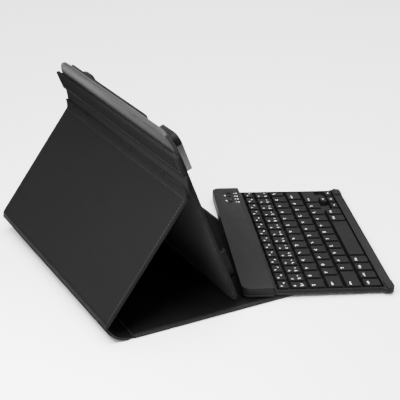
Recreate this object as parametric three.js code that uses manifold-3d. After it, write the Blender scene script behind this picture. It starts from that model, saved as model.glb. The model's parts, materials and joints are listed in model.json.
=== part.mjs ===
// Folding tablet case with a detachable wireless keyboard, standing open as a tent.
// Millimetres, +Z up. +X runs from the spine towards the user, +Y from the user's left to the right.
import * as THREE from "three";
import { mergeVertices } from "three/addons/utils/BufferGeometryUtils.js";
import Module from "manifold-3d";

const wasm = await Module();
wasm.setup();

// ---- driving dimensions -------------------------------------------------------------------

const caseWidth = 271; // along Y, the same for every folding panel
const coverLength = 193; // front cover, from the spine crease to its free edge
const panelThickness = 3.2; // skin, board and lining together
const creaseGap = 1.3; // bare fold left between two panels
const kneeGap = 2.5; // the same at the sharper fold between spine and leg
const layerGap = 0.25; // air between two layers that touch on the real object
const hemWidth = 2.2; // leather turned over round a panel
const skinThickness = 0.9;
const liningThickness = 0.7;

const spineRise = new THREE.Vector2(-26.2, 17.3); // where the spine meets the leg, in X and Z
const legLength = 138;
const legAngle = 53.8; // degrees above the table
const plateLean = 68; // degrees above the table
const plateTop = new THREE.Vector2(40.8, 185.3); // top edge of the holder's back, in X and Z
const plateLength = 196;
const plateWidth = 260;
const plateThickness = 3.8;
const bandStart = 17; // hinge strip on the plate's back, measured down from its top edge
const bandLength = 20.5;
const bandDepth = 3.9;
const flexEnd = new THREE.Vector2(55, -6); // lower end of the flexible strip, along and behind the plate

const keyboardWidth = 243;
const keyboardDepth = 151;
const keyboardCorner = new THREE.Vector3(123.3, 12.8, 3.78);
const keyboardTurn = -22.5; // degrees about Z: it lies loosely turned in front of the stand
const keyboardTilt = 0.95; // degrees: it rests on the cover behind and on the table in front
const barDepth = 31; // raised battery bar along the keyboard's rear
const barHeight = 10.4;
const deckHeight = 6;
const deckInset = 3; // the deck is this much narrower than the bar at each end
const keyTop = 7.3;
const keyTaper = 0.75;

// ---- materials ----------------------------------------------------------------------------

const finish = (color, roughness, metalness = 0) =>
  new THREE.MeshStandardMaterial({ color, roughness, metalness });
const finishes = {
  leather: () => finish(0x3a3a3b, 0.55),
  lining: () => finish(0x0b0b0c, 0.95),
  board: () => finish(0x8a7558, 0.9),
  plastic: () => finish(0x303031, 0.6),
  clip: () => finish(0x1a1a1b, 0.4),
  keycap: () => finish(0x222224, 0.55),
  steel: () => finish(0xb8babd, 0.3, 1),
  rubber: () => finish(0x151515, 0.9),
  circuit: () => finish(0x1f5a34, 0.5),
  cell: () => finish(0xa9adb2, 0.4, 0.4),
  lens: () => finish(0xe8ecef, 0.2),
};

// ---- solids -------------------------------------------------------------------------------

// A closed geometry as a manifold solid, for joining and cutting.
function solid(geometry) {
  const bare = geometry.index ? geometry.toNonIndexed() : geometry.clone();
  bare.deleteAttribute("normal");
  bare.deleteAttribute("uv");
  const merged = mergeVertices(bare, 1e-4);
  return new wasm.Manifold(
    new wasm.Mesh({
      numProp: 3,
      vertProperties: new Float32Array(merged.attributes.position.array),
      triVerts: new Uint32Array(merged.index.array),
    }),
  );
}

function shapeOf(made) {
  const mesh = made.getMesh();
  const geometry = new THREE.BufferGeometry();
  geometry.setAttribute("position", new THREE.BufferAttribute(mesh.vertProperties, 3));
  geometry.setIndex(new THREE.BufferAttribute(mesh.triVerts, 1));
  geometry.computeVertexNormals();
  return geometry;
}

const join = (...pieces) => shapeOf(pieces.map(solid).reduce((all, next) => all.add(next)));
const cut = (piece, ...tools) =>
  shapeOf(tools.map(solid).reduce((left, tool) => left.subtract(tool), solid(piece)));

// Rectangle from (x0, y0) to (x1, y1). Radii go round from (x0, y0): a number, or one for each corner.
function roundedOutline(x0, x1, y0, y1, radii = 0) {
  const [a, b, c, d] = Array.isArray(radii) ? radii : [radii, radii, radii, radii];
  const outline = new THREE.Shape();
  const corner = (cx, cy, radius, from) => {
    if (radius > 0) outline.absarc(cx, cy, radius, from, from + Math.PI / 2, false);
    else outline.lineTo(cx, cy);
  };
  outline.moveTo(x0, y0 + a);
  corner(x0 + a, y0 + a, a, Math.PI);
  corner(x1 - b, y0 + b, b, -Math.PI / 2);
  corner(x1 - c, y1 - c, c, 0);
  corner(x0 + d, y1 - d, d, Math.PI / 2);
  outline.closePath();
  return outline;
}

function slab(outline, z0, z1, curveSegments = 4) {
  const options = { depth: z1 - z0, bevelEnabled: false, curveSegments };
  return new THREE.ExtrudeGeometry(outline, options).translate(0, 0, z0);
}

const block = (x0, x1, y0, y1, z0, z1) => slab(roundedOutline(x0, x1, y0, y1), z0, z1);

// An outline drawn in X and Z, drawn out along Y.
function alongY(outline, y0, y1) {
  const options = { depth: y1 - y0, bevelEnabled: false, curveSegments: 4 };
  return new THREE.ExtrudeGeometry(outline, options).rotateX(Math.PI / 2).translate(0, y1, 0);
}

function addPart(parent, name, geometry, material) {
  const mesh = new THREE.Mesh(geometry, material);
  mesh.name = name;
  parent.add(mesh);
  return mesh;
}

// A board in a leather tray with a lining laid in the hem. The leather side is at outer, and the
// layers follow each other towards the lining side, which is up when side is 1 and down when it is -1.
function addPanel(parent, name, size, outer, side, pockets = []) {
  const { x0, x1, y0, y1, radii, thickness } = size;
  const at = (depth) => outer + side * depth;
  const layer = (from, to, inset) => {
    const trimmed = radii.map((radius) => Math.max(radius - inset, 0.6));
    const outline = roundedOutline(x0 + inset, x1 - inset, y0 + inset, y1 - inset, trimmed);
    return slab(outline, Math.min(at(from), at(to)), Math.max(at(from), at(to)));
  };
  const boardEnd = thickness - liningThickness - layerGap;
  const skin = cut(layer(0, thickness, 0), layer(skinThickness, thickness + 1, hemWidth));
  const inside = hemWidth + layerGap;
  const board = layer(skinThickness + layerGap, boardEnd, inside);
  addPart(parent, `${name}_skin`, skin, finishes.leather());
  addPart(parent, `${name}_board`, pockets.length ? cut(board, ...pockets) : board, finishes.board());
  addPart(parent, `${name}_lining`, layer(boardEnd + layerGap, thickness, inside), finishes.lining());
}

const assembly = new THREE.Group();

// ---- front cover --------------------------------------------------------------------------

const magnetLength = 46;
const magnetWidth = 12;
const coverMagnets = [
  { name: "cover_magnet_near", y: 40 },
  { name: "cover_magnet_far", y: caseWidth - 40 },
];

function addFrontCover(parent) {
  const size = {
    x0: creaseGap, x1: coverLength, y0: 0, y1: caseWidth, radii: [3, 6, 6, 3], thickness: panelThickness,
  };
  const magnetX = coverLength - 30;
  const pocket = (y, grow) => {
    const halfWidth = magnetWidth / 2 + grow;
    const halfLength = magnetLength / 2 + grow;
    const outline = roundedOutline(magnetX - halfWidth, magnetX + halfWidth, y - halfLength, y + halfLength);
    return slab(outline, skinThickness + layerGap - grow, panelThickness - liningThickness - layerGap + grow);
  };
  addPanel(parent, "cover", size, 0, 1, coverMagnets.map(({ y }) => pocket(y, layerGap)));
  for (const { name, y } of coverMagnets) addPart(parent, name, pocket(y, 0), finishes.steel());
}

// ---- spine --------------------------------------------------------------------------------

// The spine rises in a soft curve from the cover's crease to the leg. Its outer face follows this curve.
const spineCurve = new THREE.CubicBezierCurve(
  new THREE.Vector2(0, 0.1),
  new THREE.Vector2(-12, 0.4),
  new THREE.Vector2(-20.5, 6.5),
  spineRise,
);

function spineLayer(from, to, start, end) {
  const steps = 9;
  const side = (depth) =>
    Array.from({ length: steps + 1 }, (_, i) => {
      const t = start + ((end - start) * i) / steps;
      const along = spineCurve.getTangentAt(t);
      return spineCurve.getPointAt(t).add(new THREE.Vector2(along.y, -along.x).multiplyScalar(depth));
    });
  return alongY(new THREE.Shape([...side(from), ...side(to).reverse()]), 0, caseWidth);
}

function addSpine(parent) {
  const start = creaseGap / spineCurve.getLength();
  const end = 1 - kneeGap / spineCurve.getLength();
  const margin = 0.08;
  const stiffenerEnd = panelThickness - liningThickness - layerGap;
  addPart(parent, "spine_skin", spineLayer(0, skinThickness, start, end), finishes.leather());
  const stiffener = spineLayer(skinThickness + layerGap, stiffenerEnd, start + margin, end - margin);
  addPart(parent, "spine_stiffener", stiffener, finishes.board());
  const lining = spineLayer(stiffenerEnd + layerGap, panelThickness, start, end);
  addPart(parent, "spine_lining", lining, finishes.lining());
}

// ---- leg: the lower part of the back cover ------------------------------------------------

function addLeg(parent) {
  const leg = new THREE.Group();
  leg.position.set(spineRise.x, 0, spineRise.y);
  leg.rotation.y = THREE.MathUtils.degToRad(-legAngle);
  parent.add(leg);
  const size = {
    x0: kneeGap, x1: legLength, y0: 0, y1: caseWidth, radii: [3, 2, 2, 5], thickness: panelThickness,
  };
  addPanel(leg, "leg", size, 0, -1);
}

// ---- holder: the plate that carries the tablet ---------------------------------------------

// In the holder's own axes X runs down the plate, Z points to the screen side and the back is at 0.
const plateNear = (caseWidth - plateWidth) / 2;
const plateFar = plateNear + plateWidth;
const screenFace = plateThickness;
const jawBase = screenFace + layerGap; // the jaws run on the plate's lining
const jawTop = 16.4;
const jawFloor = 1.2;
const jawSpan = { top: 16, bottom: 188, near: 28.5, far: caseWidth - 28.5 };
const jawWall = 2.4;
const jawLip = 2.6; // how far the lip reaches over the tablet
const lipThickness = 1.2;
const jawArm = 37; // length of a corner hook along the tablet's short side
const jawReach = 31; // and along its long side
const jawCorner = 9;
const tongueStarts = [70, 118]; // two tongues on each jaw run in the track
const tongueWidth = 16;
const tongueLength = 82;
const track = { x0: 62, x1: 142, y0: 84, y1: caseWidth - 84, height: 2.2 };
const springRadius = 0.75;

// One corner hook: an L-shaped wall round a corner of the tablet, with a lip over the tablet's edge.
function cornerHook(nearSide, topSide) {
  const y = nearSide ? jawSpan.near : jawSpan.far;
  const v = topSide ? jawSpan.top : jawSpan.bottom;
  const inY = nearSide ? 1 : -1;
  const inV = topSide ? 1 : -1;
  const outline = (inset, lengthen) => {
    const vs = [v + inV * inset, v + inV * (jawArm + lengthen)].sort((a, b) => a - b);
    const ys = [y + inY * inset, y + inY * (jawReach + lengthen)].sort((a, b) => a - b);
    const radius = jawCorner - inset;
    const order = [topSide && nearSide, !topSide && nearSide, !topSide && !nearSide, topSide && !nearSide];
    return roundedOutline(...vs, ...ys, order.map((here) => (here ? radius : 0)));
  };
  const full = slab(outline(0, 0), jawBase, jawTop);
  const room = slab(outline(jawWall, 5), jawBase + jawFloor, jawTop - lipThickness);
  const mouth = slab(outline(jawWall + jawLip, 5), jawBase - 1, jawTop + 1);
  return cut(full, room, mouth);
}

function addJaw(parent, nearSide) {
  const name = nearSide ? "near_jaw" : "far_jaw";
  const edge = nearSide ? jawSpan.near : jawSpan.far;
  const inY = nearSide ? 1 : -1;
  const strip = (from, to) => [edge + inY * from, edge + inY * to].sort((a, b) => a - b);
  const railTop = jawBase + jawFloor;
  const rail = block(jawSpan.top + jawArm - 4, jawSpan.bottom - jawArm + 4, ...strip(0, 5), jawBase, railTop);
  const tongues = tongueStarts.map((v) =>
    block(v, v + tongueWidth, ...strip(4, tongueLength), jawBase, railTop));
  const jaw = join(cornerHook(nearSide, true), cornerHook(nearSide, false), rail, ...tongues);
  addPart(parent, name, jaw, finishes.clip());
}

// The track is glued to the plate and covers the jaws' tongues and the two return springs.
function addJawTrack(parent) {
  const { x0, x1, y0, y1, height } = track;
  const cover = slab(roundedOutline(x0, x1, y0, y1, 4), jawBase, jawBase + height);
  const slots = tongueStarts.map((v) =>
    block(v - 0.4, v + tongueWidth + 0.4, y0 - 1, y1 + 1, jawBase - 1, jawBase + jawFloor + layerGap));
  const springBed = block(92, 112, y0 + 8, y1 - 8, jawBase - 1, jawBase + 1.75);
  addPart(parent, "jaw_track", cut(cover, ...slots, springBed), finishes.clip());
  for (const [name, v] of [["near_jaw_spring", 97], ["far_jaw_spring", 107]]) {
    const spring = coilSpring(70, springRadius, 16).translate(v, 100, jawBase + springRadius + 0.1);
    addPart(parent, name, spring, finishes.steel());
  }
}

// A close-wound spring as one turned body with a groove between every two turns, along +Y.
function coilSpring(length, radius, turns) {
  const profile = [new THREE.Vector2(0, 0)];
  for (let i = 0; i < turns; i++) {
    profile.push(new THREE.Vector2(radius, ((i + 0.25) * length) / turns));
    profile.push(new THREE.Vector2(radius * 0.75, ((i + 0.75) * length) / turns));
  }
  profile.push(new THREE.Vector2(0, length));
  return new THREE.LatheGeometry(profile, 6);
}

// A grip rail along the plate's top edge, with one raised catch.
function addTopRail(parent) {
  const bar = slab(roundedOutline(3, 8, 66, 236, 1), jawBase, jawBase + 3.4);
  const hook = slab(roundedOutline(3, 7.4, 190, 206, 1.6), jawBase + 1, jawBase + 6);
  addPart(parent, "top_rail", join(bar, hook), finishes.clip());
}

// The steel insert lies on the outer face of the near jaw's top hook.
function addCornerSteel(parent) {
  const outer = jawSpan.near - layerGap;
  const start = jawSpan.top + jawCorner;
  const insert = block(start, jawSpan.top + jawArm - 0.5, outer - 0.7, outer, jawBase + 1.5, jawTop - 0.4);
  addPart(parent, "near_hook_steel", insert, finishes.steel());
}

// The hinge strip: a stiff band glued to the plate's back, and a soft tongue down to the leg's top edge.
function addHingeStrip(parent) {
  const bandEnd = bandStart + bandLength;
  const band = {
    x0: bandStart, x1: bandEnd, y0: 0, y1: caseWidth, radii: [1.5, 1.5, 1.5, 1.5], thickness: bandDepth,
  };
  const outer = -layerGap - bandDepth;
  const tray = roundedOutline(band.x0, band.x1, band.y0, band.y1, 1.5);
  const inset = hemWidth + layerGap;
  const core = roundedOutline(band.x0 + inset, band.x1 - inset, band.y0 + inset, band.y1 - inset, 0.6);
  const room = roundedOutline(band.x0 + hemWidth, band.x1 - hemWidth, hemWidth, caseWidth - hemWidth, 0.6);
  const skin = cut(slab(tray, outer, -layerGap), slab(room, outer + skinThickness, 1));
  addPart(parent, "strip_skin", skin, finishes.leather());
  const board = slab(core, outer + skinThickness + layerGap, -2 * layerGap);
  addPart(parent, "strip_board", board, finishes.board());

  const thickness = 1.6;
  const upper = new THREE.Vector2(bandEnd + 0.6, -layerGap - thickness);
  const curve = new THREE.QuadraticBezierCurve(upper, new THREE.Vector2(48, -3.2), flexEnd);
  const lower = curve.getPoints(5);
  const raised = lower.map((point) => point.clone().add(new THREE.Vector2(0, thickness)));
  const tongue = new THREE.Shape([...lower, ...raised.reverse()]);
  addPart(parent, "strip_tongue", alongY(tongue, 0, caseWidth), finishes.leather());
}

function addHolder(parent) {
  const holder = new THREE.Group();
  holder.position.set(plateTop.x, 0, plateTop.y);
  holder.rotation.y = THREE.MathUtils.degToRad(plateLean);
  parent.add(holder);
  const size = {
    x0: 0, x1: plateLength, y0: plateNear, y1: plateFar, radii: [26, 12, 12, 26], thickness: plateThickness,
  };
  addPanel(holder, "plate", size, 0, 1);
  addHingeStrip(holder);
  addTopRail(holder);
  addJawTrack(holder);
  addJaw(holder, true);
  addJaw(holder, false);
  addCornerSteel(holder);
}

// ---- keyboard -----------------------------------------------------------------------------

// In the keyboard's own axes X runs from its rear edge to the user, Y from the user's left to the right.
const footHeight = 0.8;
const caseFloor = 0.8;
const splitHeight = 3.5; // where the bottom case meets the top frame
const bumperDepth = 13;
const bumperHeight = 7.2;
const cornerRadius = 9;
const frameWall = 1.6;
const keyWindow = { x0: 34.6, x1: 141.2, y0: 4.4, y1: keyboardWidth - 4.4 };

// The outline steps in between the bar and the two corner bumpers.
function keyboardOutline(inset = 0) {
  const depth = keyboardDepth - inset;
  const width = keyboardWidth - inset;
  const waist = deckInset + inset;
  const radius = cornerRadius - inset;
  const front = 5 - inset;
  const bumperStart = keyboardDepth - bumperDepth;
  const outline = new THREE.Shape();
  outline.moveTo(inset, inset + radius);
  outline.absarc(inset + radius, inset + radius, radius, Math.PI, Math.PI * 1.5, false);
  outline.lineTo(barDepth - inset, inset);
  outline.lineTo(barDepth + 1 - inset, waist);
  outline.lineTo(bumperStart, waist);
  outline.lineTo(bumperStart + 3.5, inset);
  outline.absarc(depth - front, inset + front, front, -Math.PI / 2, 0, false);
  outline.absarc(depth - front, width - front, front, 0, Math.PI / 2, false);
  outline.lineTo(bumperStart + 3.5, width);
  outline.lineTo(bumperStart, keyboardWidth - waist);
  outline.lineTo(barDepth + 1 - inset, keyboardWidth - waist);
  outline.lineTo(barDepth - inset, width);
  outline.absarc(inset + radius, width - radius, radius, Math.PI / 2, Math.PI, false);
  outline.closePath();
  return outline;
}

const socket = { x: 14, width: 9, height: 3.4, depth: 6, z: 4.6 };
const switchBed = { x: 17.5, y: 223, length: 11, width: 4.2 };
const buttonBed = { x: 17.5, y: 207, length: 8, width: 4.2 };
const ledX = 26.5;
const ledPositions = [203, 211, 219, 227];
const barRoof = 1.4;

function addKeyboardCase(parent) {
  const floorTop = footHeight + caseFloor;
  const shell = slab(keyboardOutline(), footHeight, splitHeight);
  const well = slab(keyboardOutline(frameWall), floorTop, splitHeight + 1);
  addPart(parent, "keyboard_bottom", cut(shell, well), finishes.plastic());

  const frameStart = splitHeight + layerGap;
  const deck = slab(keyboardOutline(), frameStart, deckHeight);
  const bar = slab(roundedOutline(0, barDepth, 0, keyboardWidth, [9, 2, 2, 9]), deckHeight - 1, barHeight);
  const barSlope = alongY(
    new THREE.Shape([
      new THREE.Vector2(barDepth - 2, deckHeight - 1),
      new THREE.Vector2(barDepth + 2.6, deckHeight - 1),
      new THREE.Vector2(barDepth - 1, barHeight - 0.4),
      new THREE.Vector2(barDepth - 2, barHeight - 0.4),
    ]),
    deckInset,
    keyboardWidth - deckInset,
  );
  const bumpers = [0, keyboardWidth - 16].map((y) => {
    const radii = y ? [0, 0, 5, 3] : [3, 5, 0, 0];
    const outline = roundedOutline(keyboardDepth - 8.5, keyboardDepth, y, y + 16, radii);
    return slab(outline, deckHeight - 1, bumperHeight);
  });
  const { x0, x1, y0, y1 } = keyWindow;
  const window = block(x0, x1, y0, y1, frameStart - 1, deckHeight + 1);
  const roof = barHeight - barRoof;
  const barRoom = block(frameWall + 1, barDepth - 3.4, 7, keyboardWidth - 12, frameStart - 1, roof);
  const bed = ({ x, y, length, width }) =>
    block(x - width / 2, x + width / 2, y - length / 2, y + length / 2, barHeight - 1.1, barHeight + 1);
  const stem = ({ x, y }) => block(x - 1, x + 1, y - 3.2, y + 3.2, barHeight - 2, barHeight + 1);
  const ledHoles = ledPositions.map((y) => new THREE.CylinderGeometry(1.1, 1.1, 4, 8).rotateX(Math.PI / 2)
    .translate(ledX, y, barHeight));
  const port = block(
    socket.x - socket.width / 2 - layerGap, socket.x + socket.width / 2 + layerGap,
    keyboardWidth - 13, keyboardWidth + 1,
    socket.z - layerGap, socket.z + socket.height + layerGap,
  );
  const frame = cut(
    join(deck, bar, barSlope, ...bumpers),
    window, barRoom, bed(switchBed), bed(buttonBed), stem(switchBed), stem(buttonBed), ...ledHoles, port,
  );
  addPart(parent, "keyboard_frame", frame, finishes.plastic());
}

function addKeyboardInsides(parent) {
  const floorTop = footHeight + caseFloor;
  const cell = slab(roundedOutline(5, 25.5, 14, 150, 2), floorTop + 0.3, barHeight - barRoof - 0.4);
  addPart(parent, "battery_cell", cell, finishes.cell());
  const circuit = block(5, 26.5, 156, 228, floorTop + 0.3, floorTop + 1.5);
  addPart(parent, "circuit_board", circuit, finishes.circuit());
  const { x0, x1, y0, y1 } = keyWindow;
  const sheet = block(x0, x1, y0 + 2, y1 - 2, floorTop + 0.15, floorTop + 0.4);
  addPart(parent, "dome_sheet", sheet, finishes.rubber());

  const pipeEnds = [ledPositions[0] - 4, ledPositions[3] + 4];
  const base = block(ledX - 1.2, ledX + 0.9, ...pipeEnds, barHeight - 3, barHeight - barRoof - 0.3);
  const pins = ledPositions.map((y) => new THREE.CylinderGeometry(0.8, 0.8, 2.8, 8).rotateX(Math.PI / 2)
    .translate(ledX, y, barHeight - 1.4));
  addPart(parent, "led_light_pipe", join(base, ...pins), finishes.lens());

  const { x, width, height, depth, z } = socket;
  const face = keyboardWidth - 0.3;
  const housing = block(x - width / 2, x + width / 2, face - depth, face, z, z + height);
  const mouth = block(
    x - width / 2 + 0.7, x + width / 2 - 0.7,
    keyboardWidth - depth + 1, keyboardWidth + 1,
    z + 0.7, z + height - 0.7,
  );
  addPart(parent, "charge_socket", cut(housing, mouth), finishes.steel());

  const footPlaces = {
    near_rear: [13, 16], far_rear: [13, 227], near_front: [142, 16], far_front: [142, 227],
  };
  for (const [place, [footX, footY]] of Object.entries(footPlaces)) {
    const foot = new THREE.CylinderGeometry(3.6, 4, footHeight - 0.1, 12).rotateX(Math.PI / 2);
    addPart(parent, `foot_${place}`, foot.translate(footX, footY, (footHeight - 0.1) / 2), finishes.rubber());
  }
}

function addControls(parent) {
  const knob = ({ x, y }, length, width, stemLength, shift, z1) => {
    const ends = [y + shift - length / 2, y + shift + length / 2];
    const cap = block(x - width / 2, x + width / 2, ...ends, barHeight - 0.3, z1);
    const stemY = y + shift;
    const stemEnds = [stemY - stemLength / 2, stemY + stemLength / 2];
    const stem = block(x - 0.7, x + 0.7, ...stemEnds, barHeight - 2.6, barHeight);
    return join(cap, stem);
  };
  addPart(parent, "power_switch", knob(switchBed, 4.6, 3.4, 1.6, -2, barHeight + 0.35), finishes.clip());
  addPart(parent, "connect_button", knob(buttonBed, 7.2, 3.4, 4, 0, barHeight + 0.5), finishes.clip());
}

// ---- keys ---------------------------------------------------------------------------------

const keyPitch = 16.72;
const keyGap = 2.1; // between the feet of two neighbouring keycaps
const keyStart = 4.5;
const skirtHeight = 3.1; // the lower edge of every keycap

// Rows from the rear: where each starts along X, how deep its caps are, and each key's width in pitches.
const keyRows = {
  function: { x: 36.2, depth: 10.6, widths: Array(14).fill(1) },
  number: { x: 49, depth: 15.6, widths: [0.85, ...Array(12).fill(1), 1.15] },
  upper: { x: 67.1, depth: 15.6, widths: [1.15, ...Array(12).fill(1), 0.85] },
  home: { x: 85.2, depth: 15.6, widths: [1.5, ...Array(11).fill(1), 1.5] },
  lower: { x: 103.3, depth: 15.6, widths: [2, ...Array(10).fill(1), 2] },
  bottom: { x: 121.4, depth: 17.6, widths: [1, 1, 1, 1, 5, 1, 1, 1, 1, 1] },
};

function keycap(x0, x1, y0, y1) {
  const cap = new THREE.BoxGeometry(x1 - x0, y1 - y0, keyTop - skirtHeight);
  const corners = cap.attributes.position;
  for (let i = 0; i < corners.count; i++) {
    if (corners.getZ(i) < 0) continue;
    corners.setX(i, corners.getX(i) - Math.sign(corners.getX(i)) * keyTaper);
    corners.setY(i, corners.getY(i) - Math.sign(corners.getY(i)) * keyTaper);
  }
  return cap.translate((x0 + x1) / 2, (y0 + y1) / 2, (skirtHeight + keyTop) / 2);
}

// Where each keycap of a row stands, as [x0, x1, y0, y1].
function keyPlaces({ x, depth, widths }) {
  let y = keyStart;
  return widths.map((width) => {
    const place = [x, x + depth, y + keyGap / 2, y + width * keyPitch - keyGap / 2];
    y += width * keyPitch;
    return place;
  });
}

// Neighbouring caps of one row are held together by a thin web under their skirts.
function addKeys(parent, name, places) {
  const caps = places.map((place) => keycap(...place));
  if (caps.length > 1) {
    const [x0, x1, y0] = places[0];
    const y1 = places[places.length - 1][3];
    const middle = (x0 + x1) / 2;
    caps.push(block(middle - 1.5, middle + 1.5, y0 + 2, y1 - 2, skirtHeight + 0.1, skirtHeight + 0.7));
  }
  addPart(parent, name, caps.length > 1 ? join(...caps) : caps[0], finishes.keycap());
}

function addAllKeys(parent) {
  const rows = Object.fromEntries(Object.entries(keyRows).map(([name, row]) => [name, keyPlaces(row)]));
  addKeys(parent, "function_keys", rows.function);
  addKeys(parent, "number_keys", rows.number);
  addKeys(parent, "upper_keys", rows.upper);
  addKeys(parent, "home_keys", rows.home.slice(0, 12));
  addKeys(parent, "enter_key", rows.home.slice(12));
  addKeys(parent, "left_shift_key", rows.lower.slice(0, 1));
  addKeys(parent, "lower_keys", rows.lower.slice(1, 11));
  addKeys(parent, "right_shift_key", rows.lower.slice(11));
  addKeys(parent, "left_modifier_keys", rows.bottom.slice(0, 4));
  addKeys(parent, "space_bar", rows.bottom.slice(4, 5));
  addKeys(parent, "right_modifier_keys", rows.bottom.slice(5, 7));

  const half = (keyRows.bottom.depth - 1) / 2;
  const [left, middle, right] = rows.bottom.slice(7);
  const front = ([x0, x1, y0, y1]) => [x1 - half, x1, y0, y1];
  const rear = ([x0, x1, y0, y1]) => [x0, x0 + half, y0, y1];
  addKeys(parent, "arrow_left_key", [front(left)]);
  addKeys(parent, "arrow_up_key", [rear(middle)]);
  addKeys(parent, "arrow_down_key", [front(middle)]);
  addKeys(parent, "arrow_right_key", [front(right)]);
}

function addKeyboard(parent) {
  const tilted = new THREE.Group();
  tilted.position.copy(keyboardCorner);
  tilted.rotation.y = THREE.MathUtils.degToRad(keyboardTilt);
  const keyboard = new THREE.Group();
  keyboard.rotation.z = THREE.MathUtils.degToRad(keyboardTurn);
  tilted.add(keyboard);
  parent.add(tilted);
  addKeyboardCase(keyboard);
  addKeyboardInsides(keyboard);
  addControls(keyboard);
  addAllKeys(keyboard);
}

// ---- the whole case -----------------------------------------------------------------------

addFrontCover(assembly);
addSpine(assembly);
addLeg(assembly);
addHolder(assembly);
addKeyboard(assembly);

// The origin is the middle of the bounding box's base.
assembly.updateMatrixWorld(true);
const bounds = new THREE.Box3().setFromObject(assembly, true);
const middle = bounds.getCenter(new THREE.Vector3());
assembly.position.set(-middle.x, -middle.y, -bounds.min.z);

export default assembly;
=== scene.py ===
import json
import math

import bmesh
import bpy
from mathutils import Matrix, Vector, noise

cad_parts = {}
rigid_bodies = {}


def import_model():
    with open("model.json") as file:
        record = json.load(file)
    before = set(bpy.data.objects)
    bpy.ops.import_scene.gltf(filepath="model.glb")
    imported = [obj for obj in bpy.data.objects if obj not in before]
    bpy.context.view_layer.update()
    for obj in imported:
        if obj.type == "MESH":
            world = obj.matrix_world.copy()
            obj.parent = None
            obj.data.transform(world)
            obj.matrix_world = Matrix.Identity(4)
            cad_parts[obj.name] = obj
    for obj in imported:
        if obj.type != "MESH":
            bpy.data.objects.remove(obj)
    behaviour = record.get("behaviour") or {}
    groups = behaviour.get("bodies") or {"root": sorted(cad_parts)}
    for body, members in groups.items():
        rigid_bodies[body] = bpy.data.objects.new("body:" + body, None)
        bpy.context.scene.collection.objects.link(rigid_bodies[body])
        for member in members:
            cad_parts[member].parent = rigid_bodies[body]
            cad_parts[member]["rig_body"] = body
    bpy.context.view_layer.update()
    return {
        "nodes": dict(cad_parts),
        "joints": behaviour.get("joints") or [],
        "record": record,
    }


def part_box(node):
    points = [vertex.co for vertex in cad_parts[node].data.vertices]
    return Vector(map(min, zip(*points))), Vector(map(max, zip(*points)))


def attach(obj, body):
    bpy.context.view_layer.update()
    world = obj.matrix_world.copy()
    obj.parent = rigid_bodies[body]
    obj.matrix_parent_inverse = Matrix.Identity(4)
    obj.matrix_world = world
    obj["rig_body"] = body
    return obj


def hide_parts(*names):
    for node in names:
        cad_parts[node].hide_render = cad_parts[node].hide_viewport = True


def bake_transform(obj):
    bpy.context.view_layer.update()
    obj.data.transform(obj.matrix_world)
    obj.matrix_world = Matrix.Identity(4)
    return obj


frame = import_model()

mm = 0.001
onCut = 1e-5  # a point nearer to a cutting plane than this counts as on it
leastCorner = 0.12  # no corner of a ring gets a smaller radius, in millimetres
joints = {joint["name"]: joint for joint in frame["joints"]}


# Places: every piece is built in millimetres in the own axes of its part.

def largestFaceNormal(node, towards):
    normal = max(frame["nodes"][node].data.polygons, key=lambda face: face.area).normal.copy()
    return normal if normal.dot(Vector(towards)) > 0 else -normal


# Axes of a part: Z as given, Y as near to the wanted one as it can be, and the origin at the lowest
# corner of its nodes.
def partPlace(nodeNames, zAxis, yAxis=(0, 1, 0)):
    z = Vector(zAxis).normalized()
    y = Vector(yAxis)
    y = (y - z * y.dot(z)).normalized()
    turn = Matrix((y.cross(z), y, z))
    points = [turn @ vert.co for name in nodeNames for vert in frame["nodes"][name].data.vertices]
    low = Vector([min(point[i] for point in points) for i in range(3)])
    high = Vector([max(point[i] for point in points) for i in range(3)])
    place = turn.transposed().to_4x4() @ Matrix.Translation(low) @ Matrix.Scale(mm, 4)
    return place, (high - low) / mm


def bodyOf(node):
    return frame["nodes"][node]["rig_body"]


# From bmesh to a finished piece.

def finishPiece(bm, name, body, material, place=None, replaced=(), sharpFrom=34, smooth=True):
    if place is not None:
        bmesh.ops.transform(bm, matrix=place, verts=bm.verts)
    bmesh.ops.recalc_face_normals(bm, faces=bm.faces)
    for face in bm.faces:
        face.smooth = smooth
    for edge in bm.edges:
        edge.smooth = edge.is_manifold and edge.calc_face_angle(0) < math.radians(sharpFrom)
    mesh = bpy.data.meshes.new(name)
    bm.to_mesh(mesh)
    bm.free()
    mesh.materials.append(material)
    piece = bpy.data.objects.new(name, mesh)
    bpy.context.scene.collection.objects.link(piece)
    if replaced:
        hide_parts(*replaced)
    if body:
        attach(piece, body)
    return piece


def bevelEdges(bm, edges, width, segments):
    bmesh.ops.bevel(bm, geom=edges, offset=width, offset_type="OFFSET", segments=segments,
                    profile=0.5, affect="EDGES", material=-1, clamp_overlap=True)


# A closed stack of rounded rectangles, from (0, 0) to (length, width). Each corner has its own radius,
# going round from the origin. Each ring is (how far it lies inside the outline, its height).
def ringStack(length, width, radii, rings, segments=6):
    bm = bmesh.new()
    loops = []
    for inset, z in rings:
        ring = bmesh.ops.create_circle(bm, segments=4 * (segments + 1), radius=1)["verts"]
        for i, vert in enumerate(ring):
            side, step = divmod(i, segments + 1)
            angle = (side + step / segments) * math.pi / 2
            radius = max(radii[(side + 2) % 4] - inset, leastCorner)
            x = length - inset - radius if side in (0, 3) else inset + radius
            y = width - inset - radius if side in (0, 1) else inset + radius
            vert.co = (x + radius * math.cos(angle), y + radius * math.sin(angle), z)
        loops.append(ring)
    for below, above in zip(loops, loops[1:]):
        for i in range(len(below)):
            bm.faces.new((below[i - 1], below[i], above[i], above[i - 1]))
    bm.faces.new(loops[0])
    bm.faces.new(loops[-1])
    bmesh.ops.recalc_face_normals(bm, faces=bm.faces)
    return bm


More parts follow.
